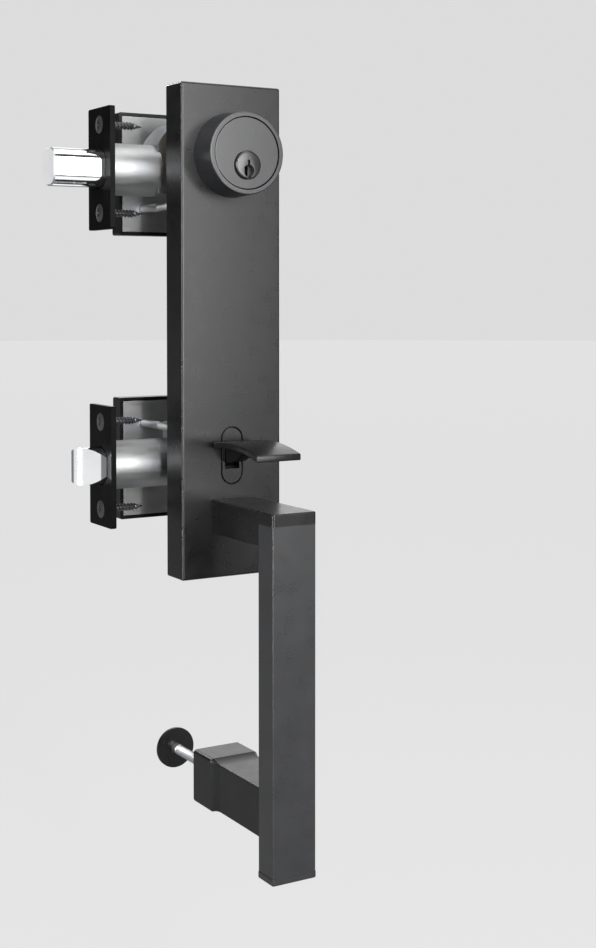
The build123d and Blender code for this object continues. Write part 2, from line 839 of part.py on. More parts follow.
def blade(gap, y0, y1):
    thin, tall = blade_thickness / 2 + gap, blade_height / 2 + gap
    return block(-thin, thin, y0, y1, lock_z - tall, lock_z + tall)


def deadbolt_cam():
    half = bolt_thickness / 2 + case_gap
    angle = -bolt_turn_deg / 2
    body = hub(lock_z, cam_hub_radius, cam_journal_radius, half, case_wall, angle, cam_arm, cam_pin_radius)
    return body - blade(fit_gap, 0, inside)


def arm_pin(axis_z, angle_deg, reach, radius):
    angle = radians(angle_deg)
    half = arm_far + pin_head
    return bar_y(reach * sin(angle), axis_z + reach * cos(angle), radius, mid - half, mid + half)


def tail_blade():
    return blade(0, -barrel_end - plug_tail, rose_face + turn_neck)


def rose(axis_z, hole):
    half = rose_size / 2
    cover = block(-half, half, inside, rose_face, axis_z - half, axis_z + half)
    cover = fillet(cover.edges().filter_by(Axis.Y), rose_round)
    cover = fillet(cover.faces().sort_by(Axis.Y)[-1].edges(), rose_round)
    inner = half - rose_wall
    cover -= block(-inner, inner, inside - 1, rose_face - rose_wall, axis_z - inner, axis_z + inner)
    return cover - bar_y(0, axis_z, hole, inside, rose_face + 1)


def base_plate(axis_z, hole, screws):
    plate = block(-base_half, base_half, inside, base_face, axis_z - base_half, axis_z + base_half)
    plate -= bar_y(0, axis_z, hole, inside - 1, base_face + 1)
    for x, z in screws:
        plate -= bar_y(x, z, screw_radius + fit_gap, inside - 1, base_face + 1)
    return plate


def stem(axis_z, radius, flange, end):
    body = bar_y(0, axis_z, radius, inside + slide_gap, end)
    return body + bar_y(0, axis_z, flange, base_face + slide_gap, base_face + slide_gap + flange_height)


def thumb_turn():
    start = rose_face + turn_neck
    long, thin = paddle_length / 2, paddle_thickness / 2
    paddle = block(-long, long, start, start + paddle_height, lock_z - thin, lock_z + thin)
    paddle = fillet(paddle.edges().filter_by(Axis.Z), 2 * paddle_round)
    paddle = fillet(paddle.edges().filter_by(Axis.X), paddle_round)
    knob = stem(lock_z, turn_stem_radius, turn_flange, start + paddle_round) + paddle
    return knob - blade(fit_gap, inside, rose_face + turn_neck + fit_gap)


def spindle_section(gap):
    return Rectangle(spindle_size + 2 * gap, spindle_size + 2 * gap)


def spindle_end():
    return inside + slide_gap + socket_depth


def spindle():
    return slab_y(spindle_section(0), spindle_start, spindle_end())


def latch_hub():
    half, wall = latch_house_half, latch_case_wall
    angle = -latch_turn_deg / 2
    body = hub(0, hub_radius, hub_journal_radius, half, wall, angle, hub_arm, hub_pin_radius)
    return body - slab_y(spindle_section(fit_gap), 0, inside)


def spindle_crank():
    crank = bar_y(0, 0, crank_radius, crank_start, crank_start + crank_thickness)
    reach = crank_arm - crank_half / 2
    arm = block(-reach, 0, crank_start, crank_start + crank_thickness, -crank_half, crank_half)
    arm += bar_y(-reach, 0, crank_half, crank_start, crank_start + crank_thickness)
    crank += Rot(0, -latch_turn_deg / 2, 0) * arm
    return crank - slab_y(spindle_section(fit_gap), crank_start - 1, crank_start + crank_thickness + 1)


def latch_section(gap):
    low = mid - latch_flat_out - gap
    high = mid + latch_flat_in + gap
    radius = latch_radius + gap
    window = Pos((low + high) / 2, 0) * Rectangle(high - low, 4 * radius)
    return (Pos(mid, 0) * Circle(radius)) & window


def latch_bolt():
    body = slab_x(latch_section(0), latch_front, latch_rear)
    outer, inner = mid - latch_flat_out, mid + latch_flat_in
    start = (latch_front, inner - latch_tip)
    end = (edge_x - slide_gap, outer)
    lean = latch_bulge / sqrt(2)
    middle = ((start[0] + end[0]) / 2 - lean, (start[1] + end[1]) / 2 - lean)
    bevel = ThreePointArc(start, middle, end)
    rest = Polyline(end, (latch_rear, outer), (latch_rear, inner), (latch_front, inner), start)
    plan = extrude(Pos(0, 0, -2 * latch_radius) * make_face([bevel, rest]), 4 * latch_radius)
    body &= plan
    tongue_low = latch_pin_height - rivet_radius - pin_boss
    body -= tongue(0, latch_rear, tongue_low, latch_radius, fit_gap)
    return body - rivet(0, latch_rear - link_tongue / 2, latch_pin_height, 4 * latch_radius, seat_gap)


def latch_pin():
    length = 2 * (latch_flat_in - rivet_setback)
    return rivet(0, latch_rear - link_tongue / 2, latch_pin_height, length, 0)


def latch_neck():
    return hub_radius + 2 * slide_gap


def latch_tail():
    half_slot = hub_pin_radius + hub_slot_gap
    pin_x = -latch_throw / 2
    low_pin = hub_arm * cos(radians(latch_turn_deg / 2))
    floor = low_pin - hub_pin_radius - case_gap
    clear = latch_spring_radius + 2 * latch_spring_wire
    foot_end = latch_rear + link_tongue
    top = hub_arm + prong_rise
    tongue_top = latch_pin_height + rivet_radius + pin_boss
    tongue_low = latch_pin_height - rivet_radius - pin_boss
    neck = latch_neck()
    piece = link(0, latch_rear, tongue_low, tongue_top, clear, foot_end, neck, pin_x, half_slot, floor, top)
    return piece - rivet(0, latch_rear - link_tongue / 2, latch_pin_height, 4 * latch_radius, seat_gap)


def latch_case():
    right = latch_throw / 2 + hub_pin_radius + hub_slot_gap + prong_wall + case_gap + latch_case_wall
    top = hub_arm + hub_pin_radius + pin_boss + case_gap
    wall, half = latch_case_wall, latch_house_half
    shell = case(0, latch_tube, wall, latch_join, right, half, top, hub_journal_radius)
    shell -= bar_x(mid, 0, latch_tube - wall, case_front - 1, latch_join)
    side = link_thickness / 2 + slide_gap
    low = latch_neck() - slide_gap
    high = low + link_neck + 2 * slide_gap
    return shell - block(latch_join - 1, latch_join + wall + 1, mid - side, mid + side, low, high)


def latch_spring():
    spring = coil(latch_spring_radius, latch_spring_wire, latch_spring_turns, latch_join - latch_rear)
    return Pos(latch_rear, mid, 0) * Rot(0, 90, 0) * spring


def knob():
    start = rose_face + knob_neck
    half = knob_size / 2
    head = block(-half, half, start, start + knob_depth, -half, half)
    head = fillet(head.edges().filter_by(Axis.Y), knob_corner)
    ends = head.faces().sort_by(Axis.Y)
    head = fillet(ends[0].edges() + ends[-1].edges(), knob_round)
    body = stem(0, knob_stem_radius, knob_flange, start + knob_round) + head
    body -= slab_y(spindle_section(fit_gap), inside, spindle_end() + fit_gap)
    return body - bar_z(0, set_screw_y(), set_screw_radius + seat_gap, -knob_stem_radius - 1, 0)


def set_screw_y():
    return rose_face + set_screw_radius + set_screw_clear


def knob_set_screw():
    top = -spindle_size / 2
    return bar_z(0, set_screw_y(), set_screw_radius, -knob_stem_radius, top)


def knob_spring():
    low = base_face + fit_gap
    length = rose_face - rose_wall - fit_gap - low
    spring = coil(knob_spring_radius, knob_spring_wire, knob_spring_turns, length)
    return Pos(0, low + length, 0) * Rot(90, 0, 0) * spring


def screw_pair(places):
    return group([through_screw(x, z, screw_radius, -screw_bite, base_face) for x, z in places])


pieces = {
    "exterior_plate": exterior_plate(),
    "cylinder_collar": cylinder_collar(),
    "cylinder_body": cylinder_body(),
    "cylinder_nut": cylinder_nut(),
    "key_plug": key_plug(),
    "plug_clip": plug_clip(),
    "key_pins": key_pins(),
    "driver_pins": driver_pins(),
    "pin_springs": pin_springs(),
    "pin_cover": pin_cover(),
    "thumb_insert": thumb_insert(),
    "thumbpiece": thumbpiece(),
    "thumb_pin": thumb_pin(),
    "thumb_spring": thumb_spring(),
    "upper_arm": upper_arm(),
    "upper_arm_screws": upper_arm_screws(),
    "grip_tube": grip_tube(),
    "grip_end_cap": grip_end_cap(),
    "lower_arm": lower_arm(),
    "lower_arm_screw": lower_arm_screw(),
    "lower_bolt": lower_bolt(),
    "lower_bolt_washer": lower_bolt_washer(),
    "deadbolt_faceplate": faceplate(lock_z, bolt_section(slide_gap)),
    "deadbolt_edge_screws": edge_screws(lock_z),
    "deadbolt_case": deadbolt_case(),
    "deadbolt": deadbolt(),
    "deadbolt_tail": deadbolt_tail(),
    "deadbolt_pin": deadbolt_pin(),
    "deadbolt_cam": deadbolt_cam(),
    "cam_pin": arm_pin(lock_z, -bolt_turn_deg / 2, cam_arm, cam_pin_radius),
    "tail_blade": tail_blade(),
    "thumb_turn": thumb_turn(),
    "thumb_turn_base": base_plate(lock_z, turn_stem_radius + run_gap, lock_screws),
    "thumb_turn_rose": rose(lock_z, turn_stem_radius + slide_gap),
    "deadbolt_screws": screw_pair(lock_screws),
    "latch_faceplate": faceplate(0, latch_section(slide_gap)),
    "latch_edge_screws": edge_screws(0),
    "latch_case": latch_case(),
    "latch_bolt": latch_bolt(),
    "latch_tail": latch_tail(),
    "latch_pin": latch_pin(),
    "latch_hub": latch_hub(),
    "hub_pin": arm_pin(0, -latch_turn_deg / 2, hub_arm, hub_pin_radius),
    "latch_spring": latch_spring(),
    "spindle": spindle(),
    "spindle_crank": spindle_crank(),
    "knob": knob(),
    "knob_set_screw": knob_set_screw(),
    "knob_base": base_plate(0, knob_stem_radius + run_gap, latch_screws),
    "knob_rose": rose(0, knob_stem_radius + slide_gap),
    "knob_spring": knob_spring(),
    "latch_screws": screw_pair(latch_screws),
}

for name, piece in pieces.items():
    export_step(piece, f"parts/{name}.step")
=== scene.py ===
# Looks of the front-door handleset: finishes, thumbpiece, key plug, latch spring, threaded screws, studio and camera.
# Metres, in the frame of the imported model: X along the door, Y into the door, Z up. The pieces' settings are in
# millimetres and degrees.
import json
from math import cos, radians, sin

import bmesh
import bpy
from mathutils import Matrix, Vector


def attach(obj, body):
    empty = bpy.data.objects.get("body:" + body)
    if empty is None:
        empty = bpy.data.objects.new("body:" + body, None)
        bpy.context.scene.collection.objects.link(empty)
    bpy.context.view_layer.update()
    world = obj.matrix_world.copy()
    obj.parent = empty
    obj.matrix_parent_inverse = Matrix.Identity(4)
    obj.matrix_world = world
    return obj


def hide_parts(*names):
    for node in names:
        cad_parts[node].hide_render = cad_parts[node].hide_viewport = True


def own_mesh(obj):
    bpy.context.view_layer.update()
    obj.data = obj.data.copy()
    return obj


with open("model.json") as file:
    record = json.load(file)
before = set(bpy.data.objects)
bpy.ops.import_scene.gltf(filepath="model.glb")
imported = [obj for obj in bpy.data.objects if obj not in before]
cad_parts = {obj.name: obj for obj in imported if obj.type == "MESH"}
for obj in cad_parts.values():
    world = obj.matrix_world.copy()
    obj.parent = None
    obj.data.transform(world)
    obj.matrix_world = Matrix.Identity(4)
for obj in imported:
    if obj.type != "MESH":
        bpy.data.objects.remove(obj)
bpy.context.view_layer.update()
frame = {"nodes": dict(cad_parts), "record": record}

print("frame loaded:", len(frame["nodes"]), "nodes")


# Finishes: every number that a user would turn
blackCoat = {
    "dark": (0.0030, 0.0031, 0.0034),
    "light": (0.0048, 0.0049, 0.0053),
    "roughness": (0.26, 0.32),
    "specular": 0.5,
    "toneScale": 60,
    "glossScale": 140,
    "grainScale": 2600,
    "grainHeight": 0.015,
}
# Lighter copy of the black coat for the collar, cylinder body and key plug: painted light, the same finish made
# brighter than the plate
collarCoatPaintedLight = {
    **blackCoat,
    "dark": (0.010, 0.0103, 0.0115),
    "light": (0.014, 0.0144, 0.0160),
    "roughness": (0.27, 0.32),
    "specular": 0.80,
}
# Lighter copy of the black coat for the grip and its end cap: painted light, the same finish made brighter
gripCoatPaintedLight = {**blackCoat, "dark": (0.017, 0.0174, 0.0186), "light": (0.022, 0.0225, 0.024), "specular": 0.76}
# Retoned copy of the black coat for the lower arm: painted light, a lighter base than the upper arm's coat though it is
# the same finish
armCoatPaintedLight = {**blackCoat, "dark": (0.005, 0.0051, 0.0056), "light": (0.008, 0.0082, 0.0088), "specular": 0.46}
# Darker copy of the black coat for the faceplates: painted shade, with little specular so that they keep dark
faceplateCoatPaintedShade = {**blackCoat, "dark": (0.002, 0.002, 0.0022), "light": (0.004, 0.004, 0.0043), "specular": 0.04}
screwOxide = {
    **blackCoat,
    "dark": (0.022, 0.022, 0.024),
    "light": (0.034, 0.034, 0.037),
    "roughness": (0.20, 0.28),
    "specular": 0.9,
}
metalToneScale = 90
noiseMiddle = (0.3, 0.7)  # most of a noise lies between these
grainDepth = 0.0001


def addNode(tree, kind, at, **values):
    node = tree.nodes.new(kind)
    node.location = at
    for name, value in values.items():
        if hasattr(node, name):
            setattr(node, name, value)
        else:
            node.inputs[name].default_value = value
    return node


def newFinish(name):
    finish = bpy.data.materials.new(name)
    finish.use_nodes = True
    tree = finish.node_tree
    return finish, tree, tree.nodes["Principled BSDF"]


def noiseOn(tree, place, scale, detail, at, stretch=(1, 1, 1)):
    # Noise in metres on the piece itself, stretched along an axis for brushing
    mapping = addNode(tree, "ShaderNodeMapping", (at[0] - 200, at[1]))
    mapping.inputs["Scale"].default_value = stretch
    noise = addNode(tree, "ShaderNodeTexNoise", at, Scale=scale, Detail=detail)
    tree.links.new(place.outputs["Object"], mapping.inputs["Vector"])
    tree.links.new(mapping.outputs["Vector"], noise.inputs["Vector"])
    return noise.outputs["Fac"]


def spread(tree, value, low, high, at):
    ranged = addNode(tree, "ShaderNodeMapRange", at)
    ranged.inputs["From Min"].default_value = noiseMiddle[0]
    ranged.inputs["From Max"].default_value = noiseMiddle[1]
    ranged.inputs["To Min"].default_value = low
    ranged.inputs["To Max"].default_value = high
    tree.links.new(value, ranged.inputs["Value"])
    return ranged.outputs["Result"]


def blendColours(tree, value, dark, light, at):
    ramp = addNode(tree, "ShaderNodeValToRGB", at)
    for stop, place, colour in zip(ramp.color_ramp.elements, noiseMiddle, (dark, light)):
        stop.position = place
        stop.color = (*colour, 1)
    tree.links.new(value, ramp.inputs["Fac"])
    return ramp.outputs["Color"]


def addGrain(tree, shader, height, strength, at):
    bump = addNode(tree, "ShaderNodeBump", at, Strength=strength, Distance=grainDepth)
    tree.links.new(height, bump.inputs["Height"])
    tree.links.new(bump.outputs["Normal"], shader.inputs["Normal"])


def satinBlack(name, coat):
    # Powder coat: a fine orange-peel grain over slow changes of tone and gloss
    finish, tree, shader = newFinish(name)
    place = addNode(tree, "ShaderNodeTexCoord", (-1200, 0))
    tone = noiseOn(tree, place, coat["toneScale"], 3, (-800, 300))
    gloss = noiseOn(tree, place, coat["glossScale"], 4, (-800, 0))
    grain = noiseOn(tree, place, coat["grainScale"], 2, (-800, -300))
    tree.links.new(blendColours(tree, tone, coat["dark"], coat["light"], (-500, 300)), shader.inputs["Base Color"])
    tree.links.new(spread(tree, gloss, *coat["roughness"], (-500, 0)), shader.inputs["Roughness"])
    shader.inputs["Specular IOR Level"].default_value = coat["specular"]
    addGrain(tree, shader, grain, coat["grainHeight"], (-300, -300))
    return finish


def brightMetal(name, colours, roughness, grainScale, grainHeight, stretch=(1, 1, 1)):
    # Bare or plated metal: tone, gloss and fine scratches, which run where the grain is stretched
    finish, tree, shader = newFinish(name)
    place = addNode(tree, "ShaderNodeTexCoord", (-1200, 0))
    tone = noiseOn(tree, place, metalToneScale, 4, (-800, 300))
    scratch = noiseOn(tree, place, grainScale, 3, (-800, -200), stretch)
    tree.links.new(blendColours(tree, tone, *colours, (-500, 300)), shader.inputs["Base Color"])
    tree.links.new(spread(tree, scratch, *roughness, (-500, 0)), shader.inputs["Roughness"])
    shader.inputs["Metallic"].default_value = 1.0
    addGrain(tree, shader, scratch, grainHeight, (-300, -300))
    return finish


coatBlack = satinBlack("satinBlackCoat", blackCoat)
coatCollarPaintedLight = satinBlack("satinBlackCollarPaintedLight", collarCoatPaintedLight)
coatGripPaintedLight = satinBlack("satinBlackGripPaintedLight", gripCoatPaintedLight)
coatArmPaintedLight = satinBlack("satinBlackArmPaintedLight", armCoatPaintedLight)
coatFaceplatePaintedShade = satinBlack("blackFaceplatePaintedShade", faceplateCoatPaintedShade)
oxideBlack = satinBlack("blackScrewOxide", screwOxide)
chrome = brightMetal("polishedChrome", ((0.80, 0.81, 0.83), (0.88, 0.89, 0.90)), (0.05, 0.10), 500, 0.02, (1, 8, 8))
zinc = brightMetal("zincPlate", ((0.52, 0.54, 0.58), (0.66, 0.66, 0.64)), (0.28, 0.42), 900, 0.06)
# Copy of the zinc plate for the cases and bases: its rougher, rolled grain is the finish, its darker tone is painted
# shade
stampedPaintedShade = brightMetal("stampedZincPaintedShade", ((0.36, 0.37, 0.39), (0.46, 0.46, 0.45)), (0.40, 0.52), 700, 0.10, (0.15, 1, 1))
brass = brightMetal("turnedBrass", ((0.62, 0.44, 0.17), (0.74, 0.56, 0.26)), (0.20, 0.32), 1200, 0.06)
springWire = brightMetal("springWire", ((0.30, 0.30, 0.31), (0.42, 0.42, 0.43)), (0.22, 0.32), 1500, 0.05)
print("finishes made")

finishOf = {
    "satin_black": coatBlack,
    "black_screw": oxideBlack,
    "chrome": chrome,
    "zinc_steel": zinc,
    "brass": brass,
    "spring_steel": springWire,
}
slotOf = {part["node"]: part["material_slot"] for part in frame["record"]["subparts"]}
special = {
    # Painted light: the collar, cylinder body and key plug get the lighter copy of the black coat
    "cylinder_collar": coatCollarPaintedLight,
    "cylinder_body": coatCollarPaintedLight,
    "key_plug": coatCollarPaintedLight,
    # Painted light: the grip and its end cap get the lighter copy of the black coat
    "grip_tube": coatGripPaintedLight,
    "grip_end_cap": coatGripPaintedLight,
    # Painted light: the lower arm gets its own lighter copy of the black coat
    "lower_arm": coatArmPaintedLight,
    # Painted shade: the faceplates get the darker copy of the black coat
    "deadbolt_faceplate": coatFaceplatePaintedShade,
    "latch_faceplate": coatFaceplatePaintedShade,
    # Painted shade: the cases and bases get the darker copy of the zinc plate
    "deadbolt_case": stampedPaintedShade,
    "latch_case": stampedPaintedShade,
    "thumb_turn_base": stampedPaintedShade,
    "knob_base": stampedPaintedShade,
}
for name, node in frame["nodes"].items():
    node.data.materials.clear()
    node.data.materials.append(special.get(name, finishOf[slotOf[name]]))
print("finishes given to the nodes")


# Hand tools: short names for what is done to every new piece
smoothBelow = 32  # degrees between faces


def mm(*values):
    return Vector([value / 1000 for value in values])


def only(piece):
    bpy.ops.object.select_all(action="DESELECT")
    piece.select_set(True)
    bpy.context.view_layer.objects.active = piece


def mode(name):
    bpy.ops.object.mode_set(mode=name)


def allSelected():
    bpy.ops.mesh.select_all(action="SELECT")


def atHome(location=True, rotation=True, scale=True):
    bpy.ops.object.transform_apply(location=location, rotation=rotation, scale=scale)


def startLine(name, points):
    # A single vertex drawn out from point to point, left in edit mode
    bpy.ops.object.select_all(action="DESELECT")
    bpy.context.tool_settings.mesh_select_mode = (True, False, False)
    bpy.ops.mesh.primitive_plane_add(size=0.001, location=points[0])
    piece = bpy.context.object
    piece.name = name
    mode("EDIT")
    bpy.ops.mesh.merge(type="CENTER")
    for before, after in zip(points, points[1:]):
        bpy.ops.mesh.extrude_vertices_move(TRANSFORM_OT_translate={"value": after - before})
    return piece


def pick(piece, kind, wanted):
    # Selects in edit mode the verts, edges or faces whose middle is wanted
    mesh = bmesh.from_edit_mesh(piece.data)
    bpy.context.tool_settings.mesh_select_mode = (kind == "verts", kind == "edges", kind == "faces")
    for part in (*mesh.verts, *mesh.edges, *mesh.faces):
        part.select_set(False)
    for part in getattr(mesh, kind):
        if kind == "verts":
            middle = part.co
        elif kind == "edges":
            middle = (part.verts[0].co + part.verts[1].co) / 2
        else:
            middle = part.calc_center_median()
        if wanted(middle + piece.location, part):
            part.select_set(True)
    bmesh.update_edit_mesh(piece.data)


def closeUp(piece):
    # Merges what meets, turns the faces outwards and leaves edit mode
    allSelected()
    bpy.ops.mesh.remove_doubles(threshold=0.000005)
    bpy.ops.mesh.normals_make_consistent(inside=False)
    mode("OBJECT")
    only(piece)
    atHome()
    return piece


def applied(piece, kind, **values):
    modifier = piece.modifiers.new(kind.title(), kind)
    for name, value in values.items():
        setattr(modifier, name, value)
    bpy.context.view_layer.objects.active = piece
    bpy.ops.object.modifier_apply(modifier=modifier.name)
    return piece


def cut(piece, tool, operation="DIFFERENCE"):
    # The tool is used up
    applied(piece, "BOOLEAN", object=tool, operation=operation, solver="EXACT")
    bpy.data.objects.remove(tool, do_unlink=True)
    return piece


def finished(piece, finish, body, slotName, *nodes):
    only(piece)
    bpy.ops.object.shade_smooth_by_angle(angle=radians(smoothBelow))
    piece.data.materials.clear()
    piece.data.materials.append(finish)
    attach(piece, body)
    if nodes:
        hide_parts(*nodes)
    return piece


def copyTo(piece, name, shift):
    # A copy with its own mesh, moved in its mesh
    only(piece)
    bpy.ops.object.duplicate(linked=False)
    twin = bpy.context.object
    twin.name = name
    mode("EDIT")
    allSelected()
    bpy.ops.transform.translate(value=shift)
    mode("OBJECT")
    return twin


def rod(name, middle, radius, length, along, sides=48):
    turn = {"X": (0, radians(90), 0), "Y": (radians(90), 0, 0), "Z": (0, 0, 0)}[along]
    bpy.ops.object.select_all(action="DESELECT")
    bpy.ops.mesh.primitive_cylinder_add(
        vertices=sides, radius=radius / 1000, depth=length / 1000, location=middle, rotation=turn
    )
    bar = bpy.context.object
    bar.name = name
    atHome()
    return bar


def pullBy(shift):
    allSelected()
    bpy.ops.mesh.extrude_region_move(TRANSFORM_OT_translate={"value": shift})


def pulled(name, points, shift):
    # A closed outline, filled and pulled out into a solid
    piece = startLine(name, points)
    allSelected()
    bpy.ops.mesh.edge_face_add()
    pullBy(shift)
    return closeUp(piece)


def prism(name, outline, width):
    # An outline in Y and Z at -width/2, pulled across to +width/2
    return pulled(name, [mm(-width / 2, y, z) for y, z in outline], mm(width, 0, 0))


def arc(centre, radius, start, end, steps):
    turns = [radians(start + (end - start) * step / steps) for step in range(steps + 1)]
    return [(centre[0] + radius * cos(turn), centre[1] + radius * sin(turn)) for turn in turns]


def block(name, low, high):
    bpy.ops.object.select_all(action="DESELECT")
    bpy.ops.mesh.primitive_cube_add(size=1, location=(mm(*low) + mm(*high)) / 2, scale=mm(*high) - mm(*low))
    atHome()
    bpy.context.object.name = name
    return bpy.context.object


# Thumbpiece: a crowned pad on a neck that widens under it, with the barrel that it turns on, an apron and a tail.
# Outlines are in Y and Z, the finger's in X and Y.
thumbpiece = {
    "padWidth": 22.5,
    "padRear": (-18.6, 12.4),
    "padFront": (-59.9, 9.8),
    "crown": 2.2,
    "thickness": 3.0,
    "edgeRound": 0.55,
    "steps": 28,
    "pivot": (-7.5, 4.0),
    "barrelRadius": 5.2,
    "barrelArc": (95, -145, 32),
    "pinHole": (1.55, 30, 40),
    "neckWidth": 6.8,
    "neckFlare": 1.2,
    "flareSteps": 5,
    "flareAbove": 6.5,
    "neckLow": [
        (-18.6, 2.7), (-20.6, 3.1), (-22.6, 3.75), (-24.6, 4.5), (-26.6, 5.3), (-29.0, 6.5), (-32.0, 8.2), (-35.0, 10.0)
    ],
    "neckTop": [(-35.0, 11.6), (-27.0, 11.6), (-18.2, 10.9), (-13.3, 9.4)],
    "neckRear": (-13.3, 2.7),
    "tail": [(-12.2, 2.5), (-1.2, -9.5), (2.2, -9.5), (2.2, -7.1), (0.7, -7.1), (-2.8, 5.5)],
    "tailWidth": 6.0,
    "tailRound": 0.3,
    "finger": [(0, -1.5), (-9.2, -1.5), (-9.2, 11.5), (-7.0, 11.5), (-7.0, 2.5), (0, 2.5)],
    "fingerHeights": (-9.797, -6.797),
    "apron": (3.8, 5.35),
    "apronArc": (230, 292, 12),
    "apronWidth": 15.0,
}


def rounded(piece, width, segments):
    # Every edge sharper than 50 degrees
    sharp = radians(50)
    return applied(piece, "BEVEL", width=width / 1000, segments=segments, limit_method="ANGLE", angle_limit=sharp)


def archHeight(share):
    # The pad's top between its rear and front, arched by the crown
    rear, front = thumbpiece["padRear"][1], thumbpiece["padFront"][1]
    return rear + (front - rear) * share + thumbpiece["crown"] * 4 * share * (1 - share)


def makePad():
    rear, front = thumbpiece["padRear"][0], thumbpiece["padFront"][0]
    left = -thumbpiece["padWidth"] / 2
    line = []
    for step in range(thumbpiece["steps"] + 1):
        share = step / thumbpiece["steps"]
        line.append(mm(left, rear + (front - rear) * share, archHeight(share)))
    pad = startLine("thumbPad", line)
    pullBy(mm(thumbpiece["padWidth"], 0, 0))
    pullBy(mm(0, 0, -thumbpiece["thickness"]))
    return rounded(closeUp(pad), thumbpiece["edgeRound"], 4)


def thumbTail():
    tail = prism("thumbTail", thumbpiece["tail"], thumbpiece["tailWidth"])
    low, high = thumbpiece["fingerHeights"]
    finger = pulled("finger", [mm(x, y, low) for x, y in thumbpiece["finger"]], mm(0, 0, high - low))
    return rounded(cut(tail, finger, "UNION"), thumbpiece["tailRound"], 2)


def thumbApron():
    # Under the insert's ears, to close the slot from behind
    inner, outer = thumbpiece["apron"]
    outline = arc(thumbpiece["pivot"], outer, *thumbpiece["apronArc"])
    outline += reversed(arc(thumbpiece["pivot"], inner, *thumbpiece["apronArc"]))
    return prism("thumbApron", outline, thumbpiece["apronWidth"])


def flareNeck(piece):
    # The corner where the neck's sides meet the pad's underside is rounded out
    front, above = thumbpiece["padRear"][0] / 1000, thumbpiece["flareAbove"] / 1000

    def underPad(middle, edge):
        if len(edge.link_faces) != 2 or middle.y > front or middle.z < above:
            return False
        first, second = (face.normal for face in edge.link_faces)
        across, down = (first, second) if abs(first.x) > abs(second.x) else (second, first)
        return abs(across.x) > 0.95 and down.z < -0.8

    only(piece)
    mode("EDIT")
    pick(piece, "edges", underPad)
    bpy.ops.mesh.bevel(
        offset=thumbpiece["neckFlare"] / 1000, segments=thumbpiece["flareSteps"], clamp_overlap=False
    )
    mode("OBJECT")


def makeThumbpiece():
    pad = makePad()
    pivot = thumbpiece["pivot"]
    barrel = arc(pivot, thumbpiece["barrelRadius"], *thumbpiece["barrelArc"])
    outline = thumbpiece["neckLow"] + thumbpiece["neckTop"] + barrel + [thumbpiece["neckRear"]]
    piece = cut(pad, prism("thumbNeck", outline, thumbpiece["neckWidth"]), "UNION")
    piece = cut(piece, thumbTail(), "UNION")
    piece = cut(piece, thumbApron(), "UNION")
    radius, length, sides = thumbpiece["pinHole"]
    piece = cut(piece, rod("thumbHole", mm(0, *pivot), radius, length, "X", sides))
    flareNeck(piece)
    piece.name = "thumbpieceBody"
    return finished(piece, coatBlack, "thumbpiece", "satin_black", "thumbpiece")


# Key plug: chamfered nose, a deep round mouth and the stepped slot, with the cuts that the inner pieces sit in.
# The slots' corners are X and the height over the plug's axis.
keyPlug = {
    "height": 139.7,
    "radius": 6.42,
    "front": -32.55,
    "end": -1.4,
    "nose": 0.8,
    "mouth": (2.8, -2.6, 3.2),
    "slotEnd": -6.75,
    "slotThin": ((-0.55, -0.4), (0.55, 2.4)),
    "slotWide": ((-0.55, -5.7), (1.0, -0.3)),
    "pins": [-24.75, -20.85, -16.95, -13.05, -9.15],
    "pinBore": (1.5, 7.0, 4.0),
    "clipGroove": (-3.7, -2.7, 5.2),
    "bladeSlot": (6.7, 1.9, 5.3),
}


def ringTool(name, low, high, inner, outer, height):
    # A washer round Y that cuts a groove
    ring = rod(name, mm(0, (low + high) / 2, height), outer, high - low, "Y", 64)
    return cut(ring, rod("ringCore", mm(0, (low + high) / 2, height), inner, high - low + 2, "Y", 64))


def makeKeyPlug():
    spec = keyPlug
    lock, front = spec["height"], spec["front"]
    plug = rod("keyPlugBody", mm(0, (front + spec["end"]) / 2, lock), spec["radius"], spec["end"] - front, "Y", 96)
    only(plug)
    mode("EDIT")
    pick(plug, "faces", lambda middle, face: face.normal.y < -0.9)
    bpy.ops.mesh.bevel(offset=spec["nose"] / 1000, segments=3)
    mode("OBJECT")
    radius, drop, depth = spec["mouth"]
    mouth = rod("plugMouth", mm(0, front + depth / 2 - 1, lock + drop), radius, depth + 2, "Y", 64)
    plug = cut(plug, mouth)
    for name in ("slotThin", "slotWide"):
        (left, bottom), (right, top) = spec[name]
        plug = cut(plug, block(name, (left, front - 1, lock + bottom), (right, spec["slotEnd"], lock + top)))
    bore, length, height = spec["pinBore"]
    for index, y in enumerate(spec["pins"]):
        plug = cut(plug, rod(f"pinBore{index}", mm(0, y, lock + height), bore, length, "Z", 24))
    low, high, inner = spec["clipGroove"]
    plug = cut(plug, ringTool("clipGroove", low, high, inner, spec["radius"] + 1, lock))
    tall, thick, depth = spec["bladeSlot"]
    low, high = (-tall / 2, spec["end"] - depth, lock - thick / 2), (tall / 2, spec["end"] + 1, lock + thick / 2)
    plug = cut(plug, block("bladeSlot", low, high))
    return finished(plug, coatCollarPaintedLight, "key_plug", "satin_black", "key_plug")


# Screws: turned heads, cross recesses and wound threads, all made round X
threadForm = [(0, "root"), (0.30, "crest"), (0.42, "crest"), (0.72, "root"), (1.0, "root")]  # share of a pitch
threadSteps = 20
crossRecess = {"thick": 0.95, "wide": 4.6, "narrowing": (1, 0.75, 0.42)}


def wound(piece, start, pitch, turns, steps):
    # Winds a profile round X with a Screw modifier, merges its turns and stays in edit mode
    mode("OBJECT")
    cursor = bpy.context.scene.cursor
    cursor.location = start
    bpy.ops.object.origin_set(type="ORIGIN_CURSOR")
    applied(
        piece, "SCREW", axis="X", angle=radians(360), screw_offset=pitch / 1000, iterations=turns, steps=steps,
        render_steps=steps,
    )
    cursor.location = (0, 0, 0)
    atHome(rotation=False, scale=False)
    mode("EDIT")
    allSelected()
    bpy.ops.mesh.remove_doubles(threshold=0.00001)


